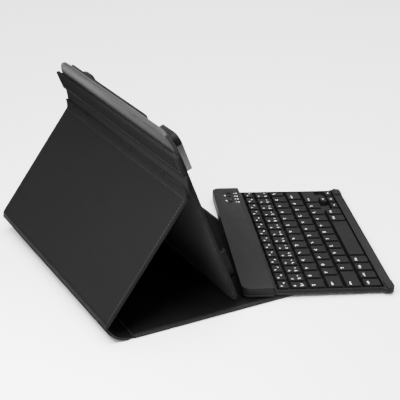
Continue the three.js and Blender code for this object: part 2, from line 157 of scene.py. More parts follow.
# Rings of a rounded edge: up from the flat underside to the flat top, in a quarter turn of that radius.
def roundedRim(radius, low, high, steps=4):
    turns = [math.pi / 2 * i / steps for i in range(steps + 1)]
    below = [(radius * (1 - math.sin(turn)), low + radius * (1 - math.cos(turn))) for turn in turns]
    above = [(inset, high + low - z) for inset, z in reversed(below)]
    return below + above


def cutGrid(bm, spacing):
    for axis in (0, 1):
        low = min(vert.co[axis] for vert in bm.verts)
        high = max(vert.co[axis] for vert in bm.verts)
        count = max(2, round((high - low) / spacing))
        normal = Vector((1 - axis, axis, 0))
        for i in range(1, count):
            everything = bm.verts[:] + bm.edges[:] + bm.faces[:]
            bmesh.ops.bisect_plane(bm, geom=everything, dist=onCut, plane_no=normal,
                                   plane_co=normal * (low + (high - low) * i / count))


# Shader node groups.

def newGroup(name, inputs, outputs):
    tree = bpy.data.node_groups.new(name, "ShaderNodeTree")
    for socketName, kind, value in inputs:
        socket = tree.interface.new_socket(socketName, in_out="INPUT", socket_type=kind)
        if value is not None:
            socket.default_value = value
    for socketName in outputs:
        tree.interface.new_socket(socketName, in_out="OUTPUT", socket_type="NodeSocketFloat")
    return tree, tree.nodes.new("NodeGroupInput"), tree.nodes.new("NodeGroupOutput")


def addNode(tree, kind, inputs=None, **settings):
    node = tree.nodes.new(kind)
    for key, value in settings.items():
        setattr(node, key, value)
    for key, value in (inputs or {}).items():
        if isinstance(value, bpy.types.NodeSocket):
            tree.links.new(value, node.inputs[key])
        else:
            node.inputs[key].default_value = value
    return node


def mathNode(tree, operation, first, second):
    return addNode(tree, "ShaderNodeMath", {0: first, 1: second}, operation=operation).outputs[0]


# Stretches a value from one span (lowest, highest) to another.
def rangeNode(tree, value, fromSpan, toSpan):
    inputs = {"Value": value, "From Min": fromSpan[0], "From Max": fromSpan[1],
              "To Min": toSpan[0], "To Max": toSpan[1]}
    return addNode(tree, "ShaderNodeMapRange", inputs).outputs[0]


commonInputs = [("Vector", "NodeSocketVector", None), ("Scale", "NodeSocketFloat", 1.0)]


# Pebbled grain of coated leather: rounded cells with fine creases between them, and slow variation.
def leatherGrainGroup():
    tree, source, sink = newGroup("leather grain", commonInputs, ("Height", "Mask"))
    point, scale = source.outputs["Vector"], source.outputs["Scale"]
    warp = addNode(tree, "ShaderNodeTexNoise", {"Vector": point, "Scale": 260.0, "Detail": 2.0})
    bent = addNode(tree, "ShaderNodeVectorMath", {0: warp.outputs["Color"], "Scale": 0.0011},
                   operation="SCALE")
    moved = addNode(tree, "ShaderNodeVectorMath", {0: point, 1: bent.outputs[0]}, operation="ADD")
    cells = addNode(tree, "ShaderNodeTexVoronoi", {"Vector": moved.outputs[0], "Scale": scale},
                    feature="DISTANCE_TO_EDGE")
    domes = rangeNode(tree, cells.outputs["Distance"], (0.0, 0.28), (0.0, 1.0))
    fineScale = mathNode(tree, "MULTIPLY", scale, 2.6)
    fine = addNode(tree, "ShaderNodeTexNoise", {"Vector": point, "Scale": fineScale, "Detail": 3.0})
    height = mathNode(tree, "ADD", mathNode(tree, "MULTIPLY", domes, 0.75),
                      mathNode(tree, "MULTIPLY", fine.outputs[0], 0.35))
    slow = addNode(tree, "ShaderNodeTexNoise", {"Vector": point, "Scale": 16.0, "Detail": 4.0})
    mask = mathNode(tree, "MULTIPLY", rangeNode(tree, slow.outputs[0], (0.3, 0.7), (0.88, 1.0)),
                    rangeNode(tree, domes, (0.0, 1.0), (0.72, 1.0)))
    tree.links.new(height, sink.inputs["Height"])
    tree.links.new(mask, sink.inputs["Mask"])
    return tree


# Short brushed nap of microfibre: fine fuzz, and patches where the nap lies another way.
def clothNapGroup():
    tree, source, sink = newGroup("cloth nap", commonInputs, ("Height", "Mask"))
    point, scale = source.outputs["Vector"], source.outputs["Scale"]
    fuzz = addNode(tree, "ShaderNodeTexNoise",
                   {"Vector": point, "Scale": scale, "Detail": 5.0, "Roughness": 0.7})
    patches = addNode(tree, "ShaderNodeTexNoise",
                      {"Vector": point, "Scale": 22.0, "Detail": 3.0, "Distortion": 0.6})
    mask = mathNode(tree, "MULTIPLY", rangeNode(tree, patches.outputs[0], (0.35, 0.65), (0.6, 1.0)),
                    rangeNode(tree, fuzz.outputs[0], (0.3, 0.7), (0.6, 1.0)))
    tree.links.new(fuzz.outputs[0], sink.inputs["Height"])
    tree.links.new(mask, sink.inputs["Mask"])
    return tree


# Spark-eroded texture of moulded plastic, with faint smudges from handling.
def sparkGroup():
    tree, source, sink = newGroup("spark texture", commonInputs, ("Height", "Mask"))
    point, scale = source.outputs["Vector"], source.outputs["Scale"]
    pits = addNode(tree, "ShaderNodeTexNoise", {"Vector": point, "Scale": scale, "Detail": 2.0})
    smudges = addNode(tree, "ShaderNodeTexNoise",
                      {"Vector": point, "Scale": 38.0, "Detail": 4.0, "Distortion": 0.4})
    mask = mathNode(tree, "MULTIPLY", rangeNode(tree, smudges.outputs[0], (0.35, 0.65), (0.7, 1.0)),
                    rangeNode(tree, pits.outputs[0], (0.3, 0.7), (0.85, 1.0)))
    tree.links.new(pits.outputs[0], sink.inputs["Height"])
    tree.links.new(mask, sink.inputs["Mask"])
    return tree


# Long drawn scratches along one direction.
def brushedGroup():
    tree, source, sink = newGroup("brushed lines", commonInputs, ("Height", "Mask"))
    point, scale = source.outputs["Vector"], source.outputs["Scale"]
    stretched = addNode(tree, "ShaderNodeMapping", {"Vector": point, "Scale": (1.0, 0.03, 1.0)})
    lines = addNode(tree, "ShaderNodeTexNoise",
                    {"Vector": stretched.outputs[0], "Scale": scale, "Detail": 4.0})
    mask = rangeNode(tree, lines.outputs[0], (0.3, 0.7), (0.5, 1.0))
    tree.links.new(lines.outputs[0], sink.inputs["Height"])
    tree.links.new(mask, sink.inputs["Mask"])
    return tree


# Twisted yarn: slanted ridges round a thread.
def yarnGroup():
    tree, source, sink = newGroup("yarn twist", commonInputs, ("Height", "Mask"))
    point, scale = source.outputs["Vector"], source.outputs["Scale"]
    slanted = addNode(tree, "ShaderNodeMapping", {"Vector": point, "Rotation": (0.0, 0.4, 0.6)})
    plies = addNode(tree, "ShaderNodeTexWave",
                    {"Vector": slanted.outputs[0], "Scale": scale, "Distortion": 0.8})
    mask = rangeNode(tree, plies.outputs["Fac"], (0.0, 1.0), (0.6, 1.0))
    tree.links.new(plies.outputs["Fac"], sink.inputs["Height"])
    tree.links.new(mask, sink.inputs["Mask"])
    return tree


effects = {
    "leather": leatherGrainGroup(),
    "cloth": clothNapGroup(),
    "spark": sparkGroup(),
    "brushed": brushedGroup(),
    "yarn": yarnGroup(),
}


# Materials. Colours are linear. The two colours and the two roughnesses are
# what the effect's mask runs between; bump is in metres; constants are for the shader's own sockets.

def makeMaterial(values):
    material = bpy.data.materials.new(values["title"])
    material.use_nodes = True
    tree = material.node_tree
    shader = tree.nodes["Principled BSDF"]
    spot = addNode(tree, "ShaderNodeTexCoord").outputs["Object"]
    pattern = addNode(tree, "ShaderNodeGroup", node_tree=effects[values["effect"]])
    tree.links.new(spot, pattern.inputs["Vector"])
    pattern.inputs["Scale"].default_value = values["scale"]
    mask = pattern.outputs["Mask"]
    low, high = values["colours"]
    mix = addNode(tree, "ShaderNodeMix", data_type="RGBA")
    tree.links.new(mask, mix.inputs[0])
    mix.inputs[6].default_value = (*low, 1.0)
    mix.inputs[7].default_value = (*high, 1.0)
    tree.links.new(mix.outputs[2], shader.inputs["Base Color"])
    smooth, rough = values["roughness"]
    tree.links.new(rangeNode(tree, mask, (0.4, 1.0), (rough, smooth)), shader.inputs["Roughness"])
    bumpInputs = {"Height": pattern.outputs["Height"], "Distance": values["bump"], "Strength": 1.0}
    tree.links.new(addNode(tree, "ShaderNodeBump", bumpInputs).outputs[0], shader.inputs["Normal"])
    for socket, value in values.get("constants", {}).items():
        shader.inputs[socket].default_value = value
    return material


def greys(low, high, warmth=0.0):
    return [(value * (1 + warmth), value, value * (1 - warmth)) for value in (low, high)]


finishes = {
    "legLeather": {
        "title": "leg leather", "effect": "leather", "scale": 950.0, "bump": 0.000018,
        "colours": greys(0.0034, 0.0052), "roughness": (0.44, 0.48),
        "constants": {"Specular IOR Level": 0.008},
    },
    # Plate leather: the case's own leather painted lighter. Its raised colours are painted light standing in
    # for light falling on the plate's back.
    "plateLeatherPaintedLighter": {
        "title": "plate leather painted lighter", "effect": "leather", "scale": 950.0, "bump": 0.000018,
        "colours": greys(0.011, 0.017), "roughness": (0.44, 0.5),
        "constants": {"Specular IOR Level": 0.06},
    },
    "stripLeather": {
        "title": "strip leather", "effect": "leather", "scale": 950.0, "bump": 0.000018,
        "colours": greys(0.0045, 0.007), "roughness": (0.58, 0.64),
        "constants": {"Specular IOR Level": 0.0},
    },
    "flexLeather": {
        "title": "flexible leather", "effect": "leather", "scale": 950.0, "bump": 0.000018,
        "colours": greys(0.006, 0.009), "roughness": (0.6, 0.66),
        "constants": {"Specular IOR Level": 0.0},
    },
    "coverLeather": {
        "title": "cover leather", "effect": "leather", "scale": 950.0, "bump": 0.00002,
        "colours": greys(0.004, 0.007), "roughness": (0.46, 0.52),
        "constants": {"Specular IOR Level": 0.04},
    },
    "lining": {
        "title": "microfibre", "effect": "cloth", "scale": 2600.0, "bump": 0.00008,
        "colours": greys(0.0012, 0.003), "roughness": (0.88, 1.0),
        "constants": {"Specular IOR Level": 0.02},
    },
    "thread": {
        "title": "thread", "effect": "yarn", "scale": 900.0, "bump": 0.00005,
        "colours": greys(0.009, 0.016), "roughness": (0.55, 0.75),
        "constants": {"Specular IOR Level": 0.2},
    },
    "shell": {
        "title": "soft-touch plastic", "effect": "spark", "scale": 3000.0, "bump": 0.00002,
        "colours": greys(0.0042, 0.0055), "roughness": (0.5, 0.62),
        "constants": {"Specular IOR Level": 0.04},
    },
    "shellUnder": {
        "title": "case plastic", "effect": "spark", "scale": 2400.0, "bump": 0.00003,
        "colours": greys(0.004, 0.006), "roughness": (0.5, 0.6),
        "constants": {"Specular IOR Level": 0.08},
    },
    "keycap": {
        "title": "key plastic", "effect": "spark", "scale": 3600.0, "bump": 0.000015,
        "colours": greys(0.0026, 0.0036), "roughness": (0.42, 0.56),
        "constants": {"Specular IOR Level": 0.035},
    },
    "keyMark": {
        "title": "key print", "effect": "spark", "scale": 4000.0, "bump": 0.000004,
        "colours": greys(0.5, 0.78), "roughness": (0.5, 0.6),
    },
    "clip": {
        "title": "clip plastic", "effect": "spark", "scale": 2200.0, "bump": 0.000015,
        "colours": greys(0.0012, 0.0024), "roughness": (0.3, 0.42),
        "constants": {"Specular IOR Level": 0.04},
    },
    "steel": {
        "title": "pressed steel", "effect": "brushed", "scale": 2400.0, "bump": 0.000008,
        "colours": greys(0.1, 0.2), "roughness": (0.24, 0.38), "constants": {"Metallic": 1.0},
    },
    "insert": {
        "title": "smoked steel", "effect": "brushed", "scale": 2400.0, "bump": 0.000006,
        "colours": greys(0.02, 0.05), "roughness": (0.28, 0.42), "constants": {"Metallic": 1.0},
    },
    "magnet": {
        "title": "nickel plate", "effect": "brushed", "scale": 1800.0, "bump": 0.000006,
        "colours": greys(0.5, 0.66), "roughness": (0.15, 0.3), "constants": {"Metallic": 1.0},
    },
    "board": {
        "title": "fibre board", "effect": "cloth", "scale": 900.0, "bump": 0.0001,
        "colours": greys(0.006, 0.012, 0.1), "roughness": (0.8, 0.95),
        "constants": {"Specular IOR Level": 0.1},
    },
    "rubber": {
        "title": "foot rubber", "effect": "spark", "scale": 1500.0, "bump": 0.00004,
        "colours": greys(0.003, 0.006), "roughness": (0.75, 0.9),
        "constants": {"Specular IOR Level": 0.1},
    },
    "cell": {
        "title": "foil pouch", "effect": "brushed", "scale": 700.0, "bump": 0.00002,
        "colours": greys(0.3, 0.42), "roughness": (0.35, 0.5), "constants": {"Metallic": 0.6},
    },
    "circuit": {
        "title": "solder mask", "effect": "spark", "scale": 900.0, "bump": 0.00002,
        "colours": ((0.01, 0.06, 0.03), (0.015, 0.1, 0.05)), "roughness": (0.35, 0.5),
    },
    "lens": {
        "title": "light pipe", "effect": "spark", "scale": 2000.0, "bump": 0.000004,
        "colours": greys(0.5, 0.66), "roughness": (0.2, 0.3),
    },
}
materials = {look: makeMaterial(values) for look, values in finishes.items()}

# The look that each CAD node gets by its slot. It shows where no piece below takes the node's place.
cadLooks = {
    "leather": "coverLeather", "lining": "lining", "board": "board", "magnet": "magnet", "clip": "clip",
    "steel": "steel", "shell": "shellUnder", "keycap": "keycap", "rubber": "rubber", "cell": "cell",
    "circuit": "circuit", "lens": "lens",
}
for entry in frame["record"]["subparts"]:
    mesh = frame["nodes"][entry["node"]].data
    mesh.materials.clear()
    mesh.materials.append(materials[cadLooks[entry["material_slot"]]])
print("materials made")


# Stitching: short laid threads in the groove round a panel.

stitch = {"pitch": 3.4, "length": 1.25, "width": 0.28, "height": 0.24, "inset": 2.9, "slant": 0.07,
          "cornerRoom": 0.4, "sunk": 0.3, "under": 0.02}


# Places round a rounded border, as (x, y, heading). Sides go round from the origin; skipped ones stay bare.
def borderPlaces(length, width, radii, inset, pitch, skip=()):
    corners = ((0, 0), (length, 0), (length, width), (0, width))
    turns = [max(radius, inset + stitch["cornerRoom"]) for radius in radii]
    places = []
    for side in range(4):
        (x0, y0), (x1, y1) = corners[side], corners[(side + 1) % 4]
        along = Vector((x1 - x0, y1 - y0)).normalized()
        inwards = Vector((-along.y, along.x))
        heading = side * math.pi / 2
        if side not in skip:
            straight = (Vector((x1, y1)) - Vector((x0, y0))).length - turns[side] - turns[(side + 1) % 4]
            count = max(1, round(straight / pitch))
            for i in range(count):
                far = turns[side] + straight * (i + 0.5) / count
                spot = Vector((x0, y0)) + along * far + inwards * inset
                places.append((spot.x, spot.y, heading))
        if side in skip or (side + 1) % 4 in skip:
            continue
        turn = turns[(side + 1) % 4]
        centre = Vector((x1, y1)) - along * turn + inwards * turn
        arc = (turn - inset) * math.pi / 2
        count = round(arc / pitch)
        for i in range(count):
            angle = heading - math.pi / 2 + math.pi / 2 * (i + 0.5) / count
            spot = centre + Vector((math.cos(angle), math.sin(angle))) * (turn - inset)
            places.append((spot.x, spot.y, angle + math.pi / 2))
    return places


def makeStitchShape():
    bm = bmesh.new()
    scale = Matrix.Diagonal((stitch["length"], stitch["width"], stitch["height"], 1))
    bmesh.ops.create_uvsphere(bm, u_segments=8, v_segments=5, radius=1, matrix=scale)
    shape = bpy.data.meshes.new("stitch")
    bm.to_mesh(shape)
    bm.free()
    return shape


stitchShape = makeStitchShape()


def addStitch(bm, spot, turn):
    move = Matrix.Translation(spot) @ turn
    stitchShape.transform(move)
    bm.from_mesh(stitchShape)
    stitchShape.transform(move.inverted())


def stitchRow(bm, places, z):
    for x, y, heading in places:
        addStitch(bm, Vector((x, y, z)), Matrix.Rotation(heading + stitch["slant"], 4, "Z"))


# Leather panels: leather turned over a board, with a stitched groove and a lining in the hem. Towards
# points out of the leather, the radii go round from the panel's origin, and a side in skip has no stitches.

panels = {
    "cover": {"towards": (0, 0, -1), "radii": (6, 3, 3, 6), "look": "coverLeather", "skip": (1,)},
    "leg": {"towards": (-1, 0, 0.5), "radii": (2, 2, 5, 3), "look": "legLeather", "skip": (3,)},
    # the plate's face takes the leather painted lighter, as painted light; its rim keeps the darker strip
    # leather
    "plate": {"towards": (-1, 0, -0.5), "radii": (12, 26, 26, 12), "look": "plateLeatherPaintedLighter", "skip": (),
              "rim": "stripLeather"},
}
panelMake = {
    "edge": 1.2, "grid": 9.0,
    "groove": 0.6, "grooveDepth": 0.7, "grooveFloor": 0.15,  # half its width at the top and at the bottom
    "hem": 2.2, "hemDepth": 0.75, "hemEdge": 0.2, "hemDrop": 0.15,
    "field": 0.12, "fieldFrom": 0.4, "fieldTo": 1.0,  # how much lower the leather lies inside the border
    "swell": 0.03, "swellPeriod": 70.0, "swellFrom": 6, "swellRun": 14,
}
clothMake = {"thick": 0.62, "edge": 0.28, "lift": 0.06, "leastRadius": 0.8, "grid": 14.4}


def leatherPanel(name, values, seed):
    skin, lining = f"{name}_skin", f"{name}_lining"
    zAxis = largestFaceNormal(skin, values["towards"])
    place, size = partPlace([skin], zAxis)
    length, width, thickness = size
    make = panelMake
    hem, line, groove, floor = make["hem"], stitch["inset"], make["groove"], make["grooveFloor"]
    bottom, field = thickness - make["grooveDepth"], thickness - make["field"]
    rings = [(hem, make["hemDepth"]), (hem, make["hemDrop"]), (hem - make["hemEdge"], 0)]
    rings += roundedRim(make["edge"], 0, thickness)
    rings += [(line - groove, thickness), (line - floor, bottom), (line + floor, bottom),
              (line + groove, thickness), (line + groove + make["fieldFrom"], field),
              (line + groove + make["fieldTo"], field)]
    bm = ringStack(length, width, values["radii"], rings)
    cutGrid(bm, make["grid"])
    swellTop([vert for vert in bm.verts if vert.co.z > thickness / 2], length, width, seed)
    body = bodyOf(skin)
    leather = finishPiece(bm, f"{name}_leather", body, materials[values["look"]], place, [skin])
    # Only the plate has a rim look: its face is painted lighter, and its near and far edges keep the darker
    # strip leather.
    if "rim" in values:  # the near and far edges have a look of their own
        leather.data.materials.append(materials[values["rim"]])
        for face in leather.data.polygons:
            face.material_index = int(abs(face.normal.y) > 0.5)

    hem += make["hemEdge"]
    radii = [max(radius - hem, clothMake["leastRadius"]) for radius in values["radii"]]
    rings = roundedRim(clothMake["edge"], 0, clothMake["thick"], 2)
    cloth = ringStack(length - 2 * hem, width - 2 * hem, radii, rings)
    cutGrid(cloth, clothMake["grid"])
    clothPlace = place @ Matrix.Translation((hem, hem, clothMake["lift"]))
    sheet = finishPiece(cloth, f"{name}_lining_cloth", body, materials["lining"], clothPlace,
                        [lining])

    threads = bmesh.new()
    places = borderPlaces(length, width, values["radii"], stitch["inset"], stitch["pitch"], values["skip"])
    stitchRow(threads, places, thickness - stitch["sunk"])
    stitchRow(threads, places, stitch["under"])
    finishPiece(threads, f"{name}_stitching", body, materials["thread"], place)


# A slow swell of the leather's field, different on each panel.
def swellTop(top, length, width, seed):
    make = panelMake
    for vert in top:
        edge = min(vert.co.x, vert.co.y, length - vert.co.x, width - vert.co.y)
        if edge > make["swellFrom"]:
            spot = Vector((vert.co.x, vert.co.y, seed * 40)) / make["swellPeriod"]
            fade = min(1, (edge - make["swellFrom"]) / make["swellRun"])
            vert.co.z += make["swell"] * noise.noise(spot) * fade


for seed, (panelName, panelValues) in enumerate(panels.items()):
    leatherPanel(panelName, panelValues, seed)
print("leather panels made")


# Strips bent along a curve in X and Z, the same all along Y.

def sectionStrip(outline, y0, y1, bevel, segments=3):
    bm = bmesh.new()
    face = bm.faces.new([bm.verts.new((x, y0, z)) for x, z in outline])
    pushed = bmesh.ops.extrude_face_region(bm, geom=[face])["geom"]
    moved = [item for item in pushed if isinstance(item, bmesh.types.BMVert)]
    bmesh.ops.translate(bm, vec=(0, y1 - y0, 0), verts=moved)
    bmesh.ops.recalc_face_normals(bm, faces=bm.faces)
    rims = [edge for edge in bm.edges if abs(edge.verts[0].co.y - edge.verts[1].co.y) < 1e-4]
    bevelEdges(bm, rims, bevel, segments)
    return bm


def bezierPoint(points, t):
    while len(points) > 1:
        points = [a.lerp(b, t) for a, b in zip(points, points[1:])]
    return points[0]


bezierStep = 0.01


def bezierDirection(points, before, after):
    return (bezierPoint(points, after) - bezierPoint(points, before)).normalized()


# The outline of a strip along a Bezier curve, from start to end of it. Its two sides lie sideFrom and
# sideTo away from the curve.
def curveOutline(points, sideFrom, sideTo, start=0.0, end=1.0, count=10):
    sides = ([], [])
    for i in range(count + 1):
        t = start + (end - start) * i / count
        here = bezierPoint(points, t)
        along = bezierDirection(points, max(0, t - bezierStep), min(1, t + bezierStep))
        across = Vector((along.y, -along.x))
        sides[0].append(here + across * sideFrom)
        sides[1].append(here + across * sideTo)
    return sides[0] + sides[1][::-1]


def inMillimetres(point):
    return Vector((point[0] / mm, point[2] / mm))


coverLow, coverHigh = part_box("cover_skin")
nearEnd, farEnd = coverLow.y / mm, coverHigh.y / mm
crease = inMillimetres(joints["spine_fold"]["pos_m"])
knee = inMillimetres(joints["leg_fold"]["pos_m"])
ridge = inMillimetres(joints["holder_fold"]["pos_m"])
worldPlace = Matrix.Scale(mm, 4)

# The spine's outer curve, from the cover's crease to the knee.
spineCurve = [crease + Vector((0, -1.4)), crease + Vector((-12, -1.1)), crease + Vector((-20.5, 5.0)), knee]
spineMake = {"leather": 2.35, "start": 0.055, "end": 0.93, "steps": 18, "bevel": 0.8, "measureSteps": 40,
             "lining": 0.7, "liningGap": 0.1, "liningEnds": 1.2, "liningBevel": 0.2}


def makeSpine():
    values = spineMake
    start, end, steps = values["start"], values["end"], values["steps"]
    outline = curveOutline(spineCurve, 0, values["leather"], start, end, steps)
    bm = sectionStrip(outline, nearEnd, farEnd, values["bevel"])
    finishPiece(bm, "spine_leather", "spine", materials["legLeather"], worldPlace, ["spine_skin"])
    low = values["leather"] + values["liningGap"]
    outline = curveOutline(spineCurve, low, low + values["lining"], start, end, steps)
    ends = values["liningEnds"]
    bm = sectionStrip(outline, nearEnd + ends, farEnd - ends, values["liningBevel"], 2)
    sheet = finishPiece(bm, "spine_lining_cloth", "spine", materials["lining"], worldPlace,
                        ["spine_lining"])
    count = values["measureSteps"]
    points = [bezierPoint(spineCurve, i / count) for i in range(count + 1)]
    length = sum((after - before).length for before, after in zip(points, points[1:]))
    length *= end - start
    threads = bmesh.new()
    count = round(length / stitch["pitch"])
    for i in range(count):
        t = start + (end - start) * (i + 0.5) / count
        here = bezierPoint(spineCurve, t)
        along = bezierDirection(spineCurve, t - bezierStep, t + bezierStep)
        turn = Matrix.Rotation(-math.atan2(along.y, along.x), 4, "Y")
        for y in (nearEnd + stitch["inset"], farEnd - stitch["inset"]):
            addStitch(threads, Vector((here.x, y, here.y)), turn)
    finishPiece(threads, "spine_stitching", "spine", materials["thread"], worldPlace)


makeSpine()


# Soft creases: pieces that run from one panel into the next, baked in place and attached to no body.

legAlong = (ridge - knee).normalized()
legOut = Vector((-legAlong.y, legAlong.x))
plateBack = largestFaceNormal("plate_skin", panels["plate"]["towards"])
plateOut = Vector((plateBack.x, plateBack.z)).normalized()
plateUp = Vector((plateOut.y, -plateOut.x))
if plateUp.y < 0:
    plateUp = -plateUp
stripLow = ridge + plateUp * 2.4 + plateOut * -1.4  # lower end of the flexible strip
legLast = knee + legAlong * 131  # near the upper end of the leg

creases = {  # each path lies in X and Z, from the first body to the second
    "cover_crease": {
        "bodies": ("front_cover", "spine"), "thick": 2.3, "look": "lining",
        "path": [crease + Vector((7, 0.1)), crease + Vector((0, 0.1)),
                 bezierPoint(spineCurve, 0.16) + Vector((0, 1.5))],
    },
    "knee_crease": {
        "bodies": ("spine", "leg"), "thick": 2.3, "look": "legLeather",
        "path": [bezierPoint(spineCurve, 0.82) + Vector((1.5, 0.7)), knee + Vector((0.9, 0.6)),
                 knee + legAlong * 7 - legOut * 1.6],
    },
    "ridge_crease": {
        "bodies": ("leg", "holder"), "thick": 1.5, "look": "stripLeather",
        "path": [legLast - legOut * 1.7, ridge + legAlong * 0.6 - legOut * 1.6,
                 stripLow + plateUp * 6 - plateOut * 0.2],
    },
}
creaseMake = {"ends": 0.5, "bevel": 0.7, "grid": 30}  # the bevel is a share of half the thickness


def makeCreases():
    for name, values in creases.items():
        half = values["thick"] / 2
        outline = curveOutline(values["path"], -half, half)
        ends = creaseMake["ends"]
        bm = sectionStrip(outline, nearEnd + ends, farEnd - ends, half * creaseMake["bevel"])
        cutAlongY(bm, creaseMake["grid"])
        piece = finishPiece(bm, name, None, materials[values["look"]], worldPlace)
        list(values["bodies"])
        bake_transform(piece)


def cutAlongY(bm, spacing):
    y = nearEnd + spacing
    while y < farEnd:
        everything = bm.verts[:] + bm.edges[:] + bm.faces[:]
        bmesh.ops.bisect_plane(bm, geom=everything, dist=onCut, plane_co=(0, y, 0), plane_no=(0, 1, 0))
        y += spacing


makeCreases()
print("spine and creases made")


# Hinge strip on the plate's back: a stiff padded band with a stitched groove.

stripMake = {"edge": 1.1, "corner": 1.5, "line": 2.9, "groove": 0.5, "grooveDepth": 0.25,
             "field": 0.1, "fieldFrom": 5.5, "grid": 9, "sunk": 0.2}


def makeHingeStrip():
    make = stripMake
    place, size = partPlace(["strip_skin"], plateBack)
    length, width, thickness = size
    line, groove = make["line"], make["groove"]
    rings = roundedRim(make["edge"], 0, thickness)
    rings += [(line - groove, thickness), (line, thickness - make["grooveDepth"]),
              (line + groove, thickness), (make["fieldFrom"], thickness - make["field"])]
    radii = (make["corner"],) * 4
    bm = ringStack(length, width, radii, rings, 3)
    cutGrid(bm, make["grid"])
    finishPiece(bm, "strip_band_leather", "holder", materials["stripLeather"], place,
                ["strip_skin"])
    threads = bmesh.new()
    places = borderPlaces(length, width, radii, line, stitch["pitch"], (1,))
    stitchRow(threads, places, thickness - make["sunk"])
    finishPiece(threads, "strip_stitching", "holder", materials["thread"], place)


makeHingeStrip()
print("hinge strip made")


# Hard parts: a merged copy of the CAD shape with its edges rounded.

copyMake = {"merge": 0.00002, "flat": 1.5, "sharpFrom": 28, "segments": 2}  # metres and degrees


def roundedCopy(node, name, look, width):
    make = copyMake
    bm = bmesh.new()
    bm.from_mesh(frame["nodes"][node].data)
    bmesh.ops.remove_doubles(bm, verts=bm.verts, dist=make["merge"])
    bmesh.ops.dissolve_limit(bm, angle_limit=math.radians(make["flat"]), verts=bm.verts, edges=bm.edges)
    sharp = [edge for edge in bm.edges
             if edge.is_manifold and edge.calc_face_angle(0) > math.radians(make["sharpFrom"])]
    bevelEdges(bm, sharp, width * mm, make["segments"])
    return finishPiece(bm, name, bodyOf(node), materials[look], None, [node])


hardParts = {  # node: the piece's name, its look and the width of its rounded edges
    "near_jaw": ("near_jaw_clip", "clip", 0.5),
    "far_jaw": ("far_jaw_clip", "clip", 0.5),
    "jaw_track": ("jaw_track_cover", "clip", 0.6),
    "top_rail": ("top_grip_rail", "clip", 0.5),
    "near_hook_steel": ("near_hook_insert", "insert", 0.2),
    "strip_tongue": ("strip_flexible_leather", "flexLeather", 0.5),
    "keyboard_frame": ("keyboard_top_case", "shell", 0.55),
    "keyboard_bottom": ("keyboard_bottom_case", "shellUnder", 0.5),
    "power_switch": ("power_switch_knob", "clip", 0.25),
    "connect_button": ("connect_button_cap", "clip", 0.25),
    "charge_socket": ("charge_socket_shell", "steel", 0.2),
}
for hardNode, (hardName, hardLook, edgeWidth) in hardParts.items():
    roundedCopy(hardNode, hardName, hardLook, edgeWidth)
print("hard parts made")


# Keyboard: keycaps with dished tops, and their printed marks.

keyboardUp = -Vector(joints["connect_button_press"]["axis"])
keyboardAlong = Vector(joints["power_switch_slide"]["axis"])
keyboardPlace, keyboardSize = partPlace(["keyboard_frame", "keyboard_bottom"], keyboardUp, keyboardAlong)

keyMake = {"pitch": 16.72, "gap": 2.1, "taper": 0.75, "corner": 1.3, "foot": 0.25, "footRise": 0.2,
           "rim": 0.5, "rimTurns": (0.5, 1.0, 1.5), "dish": 0.16, "dishInset": 1.1, "dishShoulder": 0.7}
keyRows = {  # node: the widths of its keys, in pitches
    "function_keys": [1] * 14,
    "number_keys": [0.85] + [1] * 12 + [1.15],
    "upper_keys": [1.15] + [1] * 12 + [0.85],
    "home_keys": [1.5] + [1] * 11, "enter_key": [1.5],
    "left_shift_key": [2], "lower_keys": [1] * 10, "right_shift_key": [2],
    "left_modifier_keys": [1] * 4, "space_bar": [5], "right_modifier_keys": [1] * 2,
    "arrow_left_key": [1], "arrow_up_key": [1], "arrow_down_key": [1], "arrow_right_key": [1],
}


# Lowest and highest corner of a node in the keyboard's own axes, in millimetres.
def inKeyboard(node):
    back = keyboardPlace.inverted()
    points = [back @ vert.co for vert in frame["nodes"][node].data.vertices]
    return [Vector([pick(point[i] for point in points) for i in range(3)]) for pick in (min, max)]


def keyPlaces(node, widths):
    low, high = inKeyboard(node)
    y = low.y
    for width in widths:
        depth = width * keyMake["pitch"] - keyMake["gap"]
        yield low.x, high.x, y, y + depth, low.z, high.z
        y += width * keyMake["pitch"]


def addKeycap(bm, x0, x1, y0, y1, z0, z1):
    make = keyMake
    height, rim, taper, rise = z1 - z0, make["rim"], make["taper"], make["footRise"]
    inner, dish = taper + rim + make["dishInset"], make["dish"]
    slope = taper / (height - rim)
    rings = [(make["foot"], 0), (0, rise), (slope * (height - rim - rise), height - rim)]
    rings += [(taper + rim * (1 - math.cos(turn)), height - rim + rim * math.sin(turn))
              for turn in make["rimTurns"]]
    rings += [(inner, height - dish * make["dishShoulder"]), (inner + make["dishInset"], height - dish)]
    cap = ringStack(x1 - x0, y1 - y0, (make["corner"],) * 4, rings, 3)
    bmesh.ops.translate(cap, vec=(x0, y0, z0), verts=cap.verts)
    piece = bpy.data.meshes.new("cap")
    cap.to_mesh(piece)
    cap.free()
    bm.from_mesh(piece)
    bpy.data.meshes.remove(piece)


# Strokes of made-up marks in a square of -1 to 1, as (x, y, x, y). They are no letters of any alphabet.
markShapes = [
    [(-1, -1, 1, -1), (0, -1, 0, 1)],
    [(-1, 0, 1, 0), (-1, -1, -1, 1)],
    [(-1, -1, 1, 1), (-1, 1, 0, 0)],
    [(-1, -1, -1, 1), (-1, 1, 1, 1), (1, 1, 1, 0)],
    [(-1, 1, 0, -1), (0, -1, 1, 1)],
    [(-1, 0.6, 1, 0.6), (-1, -0.6, 1, -0.6)],
    [(-1, -1, 1, -1), (1, -1, 1, 1), (-1, -1, -1, 0)],
    [(0, -1, 0, 1), (-0.8, 0, 0.8, 0)],
    [(-1, -1, 0, 1), (0, 1, 1, 1)],
]
arrowShapes = {
    "arrow_left_key": [(0, -1, 0, 1), (0, -1, -0.7, -0.2), (0, -1, 0.7, -0.2)],
    "arrow_right_key": [(0, -1, 0, 1), (0, 1, -0.7, 0.2), (0, 1, 0.7, 0.2)],
    "arrow_up_key": [(-1, 0, 1, 0), (-1, 0, -0.2, -0.7), (-1, 0, -0.2, 0.7)],
    "arrow_down_key": [(-1, 0, 1, 0), (1, 0, 0.2, -0.7), (1, 0, 0.2, 0.7)],
}
